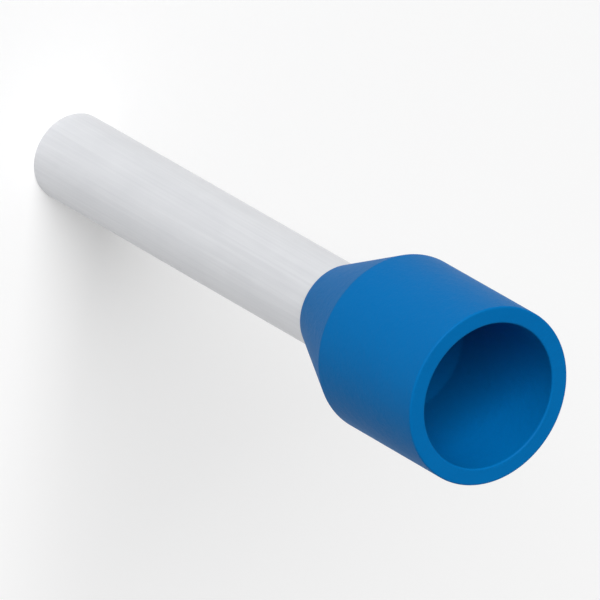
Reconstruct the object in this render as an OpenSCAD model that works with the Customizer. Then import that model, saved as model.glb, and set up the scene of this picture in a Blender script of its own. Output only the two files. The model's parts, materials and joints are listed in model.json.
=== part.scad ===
// Insulated wire ferrule: a drawn metal sleeve with a bell mouth, seated in a moulded plastic collar.
// +Z runs up the axis, from the sleeve's cut end on which it stands to the collar's open mouth.
// The stripped strands go down the sleeve, and the wire's insulation ends in the collar's socket.

/* [Sleeve] */
// Inside diameter of the sleeve, where the stripped strands lie
sleeve_bore = 2.2; // [1.8:0.05:2.6]
// Wall of the drawn sleeve, the same all the way up
sleeve_wall = 0.15; // [0.1:0.01:0.25]
// Bare length, from the cut end up to the collar's nose
bare_length = 13.3; // [8:0.1:20]
// How far the sleeve is swelled inside the collar's seat to grip it, on the radius
seat_swell = 0.05; // [0.03:0.01:0.1]
// Height of the bell mouth at the sleeve's upper end
bell_height = 1.2; // [0.8:0.1:1.6]
// How far the bell mouth opens above the seat, on the radius
bell_growth = 0.5; // [0.3:0.05:0.7]
// Rounding on the two edges of the cut end
cut_edge_radius = 0.03; // [0.01:0.01:0.04]

/* [Collar] */
// Height of the outside cone, from the nose to the shoulder
cone_height = 2.7; // [2.2:0.1:3.6]
// Height of the straight barrel, from the shoulder to the rim
barrel_height = 4.4; // [3.4:0.1:8]
// Diameter of the socket that takes the wire's insulation
socket_bore = 4.1; // [3.7:0.05:5]
// Wall of the barrel round the socket
barrel_wall = 0.475; // [0.4:0.025:0.8]
// Plastic left round the sleeve at the nose
nose_lip = 0.075; // [0.05:0.005:0.2]
// Height of the seat that grips the sleeve, from the nose to the funnel
seat_height = 1.1; // [0.7:0.1:1.3]
// Radial gap between the sleeve and the collar that is pressed on it
seat_clearance = 0.01; // [0:0.005:0.02]
// Rounding of the rim's two edges
rim_edge_radius = 0.05; // [0.02:0.01:0.1]
// Blend between the cone and the barrel
shoulder_radius = 0.2; // [0.05:0.05:0.4]

/* [Hidden] */
$fn = 96;
arc_steps = 5;

bore_r = sleeve_bore / 2;
sleeve_r = bore_r + sleeve_wall;
swelled_r = sleeve_r + seat_swell;
bell_r = swelled_r + bell_growth;
socket_r = socket_bore / 2;
barrel_r = socket_r + barrel_wall;
nose_r = sleeve_r + nose_lip;

nose_z = bare_length;
seat_top_z = nose_z + seat_height;
bell_top_z = seat_top_z + bell_height;
shoulder_z = nose_z + cone_height;
rim_z = shoulder_z + barrel_height;

// Leaning angles from the axis: of the seat, of the bell mouth with its funnel, and of the cone.
seat_angle = atan(seat_swell / seat_height);
bell_angle = atan(bell_growth / bell_height);
cone_angle = atan((barrel_r - nose_r) / cone_height);

// The funnel keeps the bell mouth's slope and runs on past its lip to the socket's wall.
funnel_top_z = seat_top_z + (socket_r - swelled_r - seat_clearance) / tan(bell_angle);

// Points on an arc round a centre at (r, z), between two directions measured from +r towards +z.
function arc(r, z, radius, from, to) =
    [for (i = [0 : arc_steps])
        let (a = from + (to - from) * i / arc_steps)
        [r + radius * cos(a), z + radius * sin(a)]];

// The point inside the sleeve's wall that faces an outside corner, where the wall bends
// from one leaning angle to another and keeps its thickness.
function inside_of(corner, below, above) =
    corner + sleeve_wall / cos((above - below) / 2)
        * [-cos((above + below) / 2), sin((above + below) / 2)];

// Half section of the sleeve: one thin wall, straight, then swelled, then flared.
module sleeve_section() {
    at_nose = [sleeve_r, nose_z];
    at_seat_top = [swelled_r, seat_top_z];
    at_lip = [bell_r, bell_top_z];
    polygon(concat(
        arc(bore_r + cut_edge_radius, cut_edge_radius, cut_edge_radius, 180, 270),
        arc(sleeve_r - cut_edge_radius, cut_edge_radius, cut_edge_radius, 270, 360),
        [at_nose, at_seat_top, at_lip],
        [inside_of(at_lip, bell_angle, bell_angle),
         inside_of(at_seat_top, seat_angle, bell_angle),
         inside_of(at_nose, 0, seat_angle)]));
}

// Half section of the collar: cone and barrel outside, socket, funnel and seat inside.
module collar_section() {
    set_back = shoulder_radius * tan(cone_angle / 2);
    polygon(concat(
        [[sleeve_r + seat_clearance, nose_z], [nose_r, nose_z]],
        arc(barrel_r - shoulder_radius, shoulder_z + set_back, shoulder_radius, -cone_angle, 0),
        arc(barrel_r - rim_edge_radius, rim_z - rim_edge_radius, rim_edge_radius, 0, 90),
        arc(socket_r + rim_edge_radius, rim_z - rim_edge_radius, rim_edge_radius, 90, 180),
        [[socket_r, funnel_top_z], [swelled_r + seat_clearance, seat_top_z]]));
}

module sleeve() {
    color([0.80, 0.80, 0.82]) rotate_extrude() sleeve_section();
}

module collar() {
    color([0.0, 0.42, 0.69]) rotate_extrude() collar_section();
}

sleeve();
collar();
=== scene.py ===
import json
import math

import bpy
import numpy as np
from mathutils import Matrix, Vector


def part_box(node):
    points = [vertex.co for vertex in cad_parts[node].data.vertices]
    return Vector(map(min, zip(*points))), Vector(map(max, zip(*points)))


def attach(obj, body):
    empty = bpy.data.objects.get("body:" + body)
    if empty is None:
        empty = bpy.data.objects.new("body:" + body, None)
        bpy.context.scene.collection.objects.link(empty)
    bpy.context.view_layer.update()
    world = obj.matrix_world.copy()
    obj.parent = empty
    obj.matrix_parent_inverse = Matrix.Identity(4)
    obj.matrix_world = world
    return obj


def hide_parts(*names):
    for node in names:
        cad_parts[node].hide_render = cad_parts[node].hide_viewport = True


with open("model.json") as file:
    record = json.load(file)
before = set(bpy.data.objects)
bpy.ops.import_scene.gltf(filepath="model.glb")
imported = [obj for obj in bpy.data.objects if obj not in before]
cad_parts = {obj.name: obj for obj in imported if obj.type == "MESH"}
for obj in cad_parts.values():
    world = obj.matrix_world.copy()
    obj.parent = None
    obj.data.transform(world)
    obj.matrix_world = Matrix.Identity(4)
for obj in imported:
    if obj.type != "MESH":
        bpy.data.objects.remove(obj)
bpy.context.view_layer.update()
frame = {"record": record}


# ---- The sleeve ----
# A short tube of thin copper, drawn to one wall, cut square at the bottom and flared into a bell
# mouth at the top, then plated with tin in a barrel. Its slight swell inside the collar is a guess.

MM = 0.001
tube_low, tube_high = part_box("sleeve")
collar_low, collar_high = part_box("collar")
mounts = {mount["name"]: mount for mount in frame["record"]["mounts"]}

bore_r = mounts["conductor_bore"]["dims"]["r_mm"] * MM
sleeve_r = mounts["sleeve_outside"]["dims"]["r_mm"] * MM
wall = sleeve_r - bore_r
cut_end_z = tube_low.z
nose_z = collar_low.z
seat_swell = 0.05 * MM
seat_height = 1.1 * MM
bell_height = 1.2 * MM

swelled_r = sleeve_r + seat_swell
bell_r = tube_high.x
seat_top_z = nose_z + seat_height
bell_top_z = seat_top_z + bell_height
seat_angle = math.atan2(seat_swell, seat_height)
bell_angle = math.atan2(bell_r - swelled_r, bell_height)

cut_edge = 0.03 * MM
lip_edge = 0.05 * MM
bend_radius = 0.3 * MM


def rounded_outline(corners, arc_steps=7, longest_step=0.5 * MM, end_step=0.03 * MM):
    """Closed outline in (r, z) from corners (r, z, radius). Each corner becomes an arc that is tangent
    to both its runs: its centre lies on the corner's bisector at radius / sin(half angle), and its
    ends radius / tan(half angle) along the runs. A point at share s of the arc is the centre plus
    the radii to its two ends, weighed by sin((1 - s) turn) / sin(turn) and sin(s turn) / sin(turn).
    Each run is then cut evenly, with a short step at each end that keeps it straight in the light."""
    points = np.array([corner[:2] for corner in corners])
    radii = np.array([corner[2] for corner in corners])
    back = np.roll(points, 1, axis=0) - points
    ahead = np.roll(points, -1, axis=0) - points
    back /= np.linalg.norm(back, axis=1)[:, None]
    ahead /= np.linalg.norm(ahead, axis=1)[:, None]
    half = np.arccos((back * ahead).sum(1)) / 2
    set_back = radii / np.tan(half)
    starts = points + back * set_back[:, None]
    ends = points + ahead * set_back[:, None]
    bisector = back + ahead
    bisector /= np.linalg.norm(bisector, axis=1)[:, None]
    centres = points + bisector * (radii / np.sin(half))[:, None]
    share = np.linspace(0, 1, arc_steps)[:, None]
    outline = []
    for i, (start, end, centre) in enumerate(zip(starts, ends, centres)):
        turn = math.pi - 2 * half[i]
        from_start = np.sin((1 - share) * turn) * (start - centre)
        from_end = np.sin(share * turn) * (end - centre)
        outline.append(centre + (from_start + from_end) / math.sin(turn))
        run = starts[(i + 1) % len(starts)] - end
        length = np.linalg.norm(run)
        short = min(end_step, length / 4) / length
        pieces = max(2, math.ceil(length / longest_step))
        outline.append(end + np.linspace(short, 1 - short, pieces + 1)[:, None] * run)
    return np.concatenate(outline)


def turned(name, outline, around=256):
    """Surface of revolution: each (r, z) of the closed outline goes to (r cos a, r sin a, z) at evenly
    spaced angles a. The grid wraps both ways, so the surface is closed, and an outline that runs
    anticlockwise in (r, z) gives outward faces."""
    angles = np.arange(around) * 2 * math.pi / around
    r, z = outline[:, :1], outline[:, 1:]
    grid = np.stack([r * np.cos(angles), r * np.sin(angles), z + 0 * angles], axis=-1)
    index = np.arange(len(outline) * around).reshape(len(outline), around)
    up, over = np.roll(index, -1, axis=0), np.roll(index, -1, axis=1)
    both = np.roll(up, -1, axis=1)
    quads = np.stack([index, over, both, up], axis=-1).reshape(-1, 4)
    mesh = bpy.data.meshes.new(name)
    mesh.from_pydata(grid.reshape(-1, 3).tolist(), [], quads.tolist())
    mesh.polygons.foreach_set("use_smooth", np.ones(len(quads), bool))
    mesh.update()
    piece = bpy.data.objects.new(name, mesh)
    bpy.context.scene.collection.objects.link(piece)
    return piece


def inside_of(r, z, below, above):
    """The wall's inner point that faces an outer corner, where the wall bends from one leaning angle
    to another and keeps its thickness: it lies on the bisector at wall / cos(half the bend)."""
    mean, half_bend = (above + below) / 2, (above - below) / 2
    reach = wall / math.cos(half_bend)
    return r - reach * math.cos(mean), z + reach * math.sin(mean)


sleeve = turned("drawn_sleeve", rounded_outline([
    (bore_r, cut_end_z, cut_edge),
    (sleeve_r, cut_end_z, cut_edge),
    (sleeve_r, nose_z, bend_radius),
    (swelled_r, seat_top_z, bend_radius),
    (bell_r, bell_top_z, lip_edge),
    (*inside_of(bell_r, bell_top_z, bell_angle, bell_angle), lip_edge),
    (*inside_of(swelled_r, seat_top_z, seat_angle, bell_angle), bend_radius),
    (*inside_of(sleeve_r, nose_z, 0, seat_angle), bend_radius),
]))


class Wire:
    """A shader socket that takes part in sums: each operator adds a Math node. One without a socket
    stands for its tree alone, where a first node is wanted."""

    def __init__(self, tree, socket=None):
        self.tree, self.socket = tree, socket

    def node(self, kind, settings, inputs, output=0):
        """Adds a node of that kind, sets its settings, then its inputs from values or wires."""
        made = self.tree.nodes.new("ShaderNode" + kind)
        for name, value in settings.items():
            setattr(made, name, value)
        for key, value in inputs.items():
            if isinstance(value, Wire):
                self.tree.links.new(value.socket, made.inputs[key])
            else:
                made.inputs[key].default_value = value
        return Wire(self.tree, made.outputs[output])

    def maths(self, operation, a, b):
        return self.node("Math", {"operation": operation}, {0: a, 1: b})

    def __add__(self, other):
        return self.maths("ADD", self, other)

    def __radd__(self, other):
        return self.maths("ADD", other, self)

    def __mul__(self, other):
        return self.maths("MULTIPLY", self, other)

    def __rmul__(self, other):
        return self.maths("MULTIPLY", other, self)

    def larger(self, other):
        """The larger of this value and another."""
        return self.maths("MAXIMUM", self, other)

    def noise(self, per_mm, detail=2.0):
        """Noise of about that many features to the millimetre, along x, y and z, from 0 to 1."""
        scaled = self.node("VectorMath", {"operation": "MULTIPLY"},
                           {0: self, 1: tuple(count / MM for count in per_mm)})
        return self.node("TexNoise", {}, {"Vector": scaled, "Scale": 1.0, "Detail": detail})

    def blend(self, low, high):
        """The colour between two, by this value."""
        return self.node("Mix", {"data_type": "RGBA"}, {0: self, 6: (*low, 1), 7: (*high, 1)}, 2)

    def bump(self, depth):
        """The normal of a surface whose height is this value times a depth."""
        return self.node("Bump", {}, {"Height": self, "Strength": 1.0, "Distance": depth})


def finish(name):
    """A new material, its Principled shader and a wire with the object's own coordinates."""
    made = bpy.data.materials.new(name)
    made.use_nodes = True
    shader = made.node_tree.nodes["Principled BSDF"]
    place = Wire(made.node_tree).node("TexCoord", {}, {}, "Object")
    return made, shader, place


def feed(shader, **wires):
    """Links wires to the shader's inputs; an underscore in a name stands for a space."""
    for name, wire in wires.items():
        wire.tree.links.new(wire.socket, shader.inputs[name.replace("_", " ")])


# Tin plate on drawn copper: long fine lines left by the die, and the soft cloud of a barrel plating.
# Dull plate scatters more light than it mirrors.
tin_dark = (0.59, 0.60, 0.63)
tin_bright = (0.79, 0.80, 0.82)
line_share = 0.6
tin_polish = 0.22
line_dulling = 0.12
cloud_dulling = 0.08
grain_height = 0.4
cloud_height = 2.0
line_depth = 0.004 * MM
tin_mirror = 0.4

tin, tin_shader, place = finish("tin_plate")
drawn_lines = place.noise((14, 14, 0.2), detail=4)
clouds = place.noise((1.1, 1.1, 0.6))
grain = place.noise((45, 45, 45))
feed(tin_shader,
     Base_Color=(clouds * (1 - line_share) + drawn_lines * line_share).blend(tin_dark, tin_bright),
     Roughness=tin_polish + drawn_lines * line_dulling + clouds * cloud_dulling,
     Normal=(drawn_lines + grain * grain_height + clouds * cloud_height).bump(line_depth))
tin_shader.inputs["Metallic"].default_value = tin_mirror

sleeve.data.materials.append(tin)
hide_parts("sleeve")
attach(sleeve, "root")


# ---- The collar ----
# One injection moulding of blue polypropylene. Its nose sits round the sleeve, its funnel guides the
# strands down into the bell mouth, and its open socket takes the end of the wire's insulation.

socket_r = mounts["insulation_socket"]["dims"]["r_mm"] * MM
barrel_r = collar_high.x
rim_z = collar_high.z
seat_clearance = 0.01 * MM
nose_lip = 0.075 * MM
cone_height = 2.7 * MM
seat_r = swelled_r + seat_clearance
funnel_height = (socket_r - seat_r) / math.tan(bell_angle)

nose_edge = 0.012 * MM
shoulder_blend = 0.2 * MM
rim_edge = 0.05 * MM
funnel_blend = 0.3 * MM

collar = turned("moulded_collar", rounded_outline([
    (sleeve_r + seat_clearance, nose_z, nose_edge),
    (sleeve_r + nose_lip, nose_z, nose_edge),
    (barrel_r, nose_z + cone_height, shoulder_blend),
    (barrel_r, rim_z, rim_edge),
    (socket_r, rim_z, rim_edge),
    (socket_r, seat_top_z + funnel_height, funnel_blend),
    (seat_r, seat_top_z, funnel_blend),
]))

# Satin polypropylene: one through colour, faintly clouded, with the fine grain of the mould's steel.
blue_deep = (0.0, 0.139, 0.410)
blue_light = (0.0, 0.155, 0.446)
flow_share = 0.8
satin = 0.42
grain_dulling = 0.16
peel_height = 1.5
grain_depth = 0.007 * MM
shine = 0.05

plastic, plastic_shader, place = finish("blue_polypropylene")
flow = place.noise((0.8, 0.8, 0.5))
mould_grain = place.noise((13, 13, 13), detail=3)
orange_peel = place.noise((3.5, 3.5, 3.5))
feed(plastic_shader,
     Base_Color=(flow * flow_share + mould_grain * (1 - flow_share)).blend(blue_deep, blue_light),
     Roughness=satin + mould_grain * grain_dulling,
     Normal=(mould_grain + orange_peel * peel_height).bump(grain_depth))
plastic_shader.inputs["Specular IOR Level"].default_value = shine

collar.data.materials.append(plastic)
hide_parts("collar")
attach(collar, "root")


# ---- The floor and the light round it ----
# A wide table top of matt pale paint, which shows near white and keeps the shadow. It lies under an
# even pale surround, and one broad soft lamp stands beside the camera.

floor_half = 1.5
floor_grey = 0.7
floor_lift = 0.32
floor_roughness = 0.9

floor_mesh = bpy.data.meshes.new("table_top")
floor_corners = [(-1, -1), (1, -1), (1, 1), (-1, 1)]
floor_mesh.from_pydata([(x * floor_half, y * floor_half, 0) for x, y in floor_corners],
                       [], [(0, 1, 2, 3)])
floor = bpy.data.objects.new("table_top", floor_mesh)
bpy.context.scene.collection.objects.link(floor)


def showing(wire):
    """1 for a ray from the camera, off a shiny surface or through a clear one, and 0 for the others."""
    camera_ray, glossy_ray, clear_ray = [wire.node("LightPath", {}, {}, "Is " + kind + " Ray")
                                         for kind in ("Camera", "Glossy", "Transmission")]
    return camera_ray.larger(glossy_ray).larger(clear_ray)


paint, paint_shader, place = finish("pale_table")
paint_shader.inputs["Base Color"].default_value = (floor_grey, floor_grey, floor_grey, 1)
paint_shader.inputs["Roughness"].default_value = floor_roughness
paint_shader.inputs["Specular IOR Level"].default_value = 0.0
paint_shader.inputs["Emission Strength"].default_value = 1.0
feed(paint_shader, Emission_Color=showing(place).blend((0, 0, 0), (floor_lift,) * 3))
floor.data.materials.append(paint)

# The surround shows at one level and lights the object at a lower one.
backdrop_level = 0.945
ambient_level = 0.25

world = bpy.data.worlds.new("surround")
bpy.context.scene.world = world
world.use_nodes = True
background = world.node_tree.nodes["Background"]
background.inputs["Color"].default_value = (1, 1, 1, 1)
level = showing(Wire(world.node_tree)) * (backdrop_level - ambient_level) + ambient_level
world.node_tree.links.new(level.socket, background.inputs["Strength"])

key_round = math.radians(30)
key_up = math.radians(44)
key_spread = math.radians(46)
key_level = 0.92

toward_key = Vector((-math.sin(key_round) * math.cos(key_up),
                     -math.cos(key_round) * math.cos(key_up),
                     math.sin(key_up)))
lamp = bpy.data.lights.new("soft_key", "SUN")
lamp.angle = key_spread
lamp.energy = key_level * math.pi
key = bpy.data.objects.new("soft_key", lamp)
key.rotation_euler = toward_key.to_track_quat("Z", "Y").to_euler()
bpy.context.scene.collection.objects.link(key)


# ---- The camera ----
# A very long lens from far off, which sees the ferrule's parallel lines as parallel. It looks down
# into the mouth and leans over, so that the ferrule lies across the view.

elevation = math.radians(50.35)
lean_over = math.radians(119.96)
view_width = 16.18 * MM
aim = Vector((0.29 * MM, 0, 11.57 * MM))
lens_length = 1200.0
sensor_width = 36.0
distance = view_width * lens_length / sensor_width
clip_ratio = 10

camera_data = bpy.data.cameras.new("long_lens")
camera_data.sensor_width = sensor_width
camera_data.lens = lens_length
camera_data.clip_start = distance / clip_ratio
camera_data.clip_end = distance * clip_ratio
camera = bpy.data.objects.new("long_lens", camera_data)
bpy.context.scene.collection.objects.link(camera)

back = Vector((0, -math.cos(elevation), math.sin(elevation)))
level_right = Vector((1, 0, 0))
level_up = back.cross(level_right)
right = level_right * math.cos(lean_over) + level_up * math.sin(lean_over)
up = level_up * math.cos(lean_over) - level_right * math.sin(lean_over)
turn = Matrix((right, up, back)).transposed().to_4x4()
camera.matrix_world = Matrix.Translation(aim + back * distance) @ turn
bpy.context.scene.camera = camera

bpy.context.scene.view_settings.view_transform = "Standard"
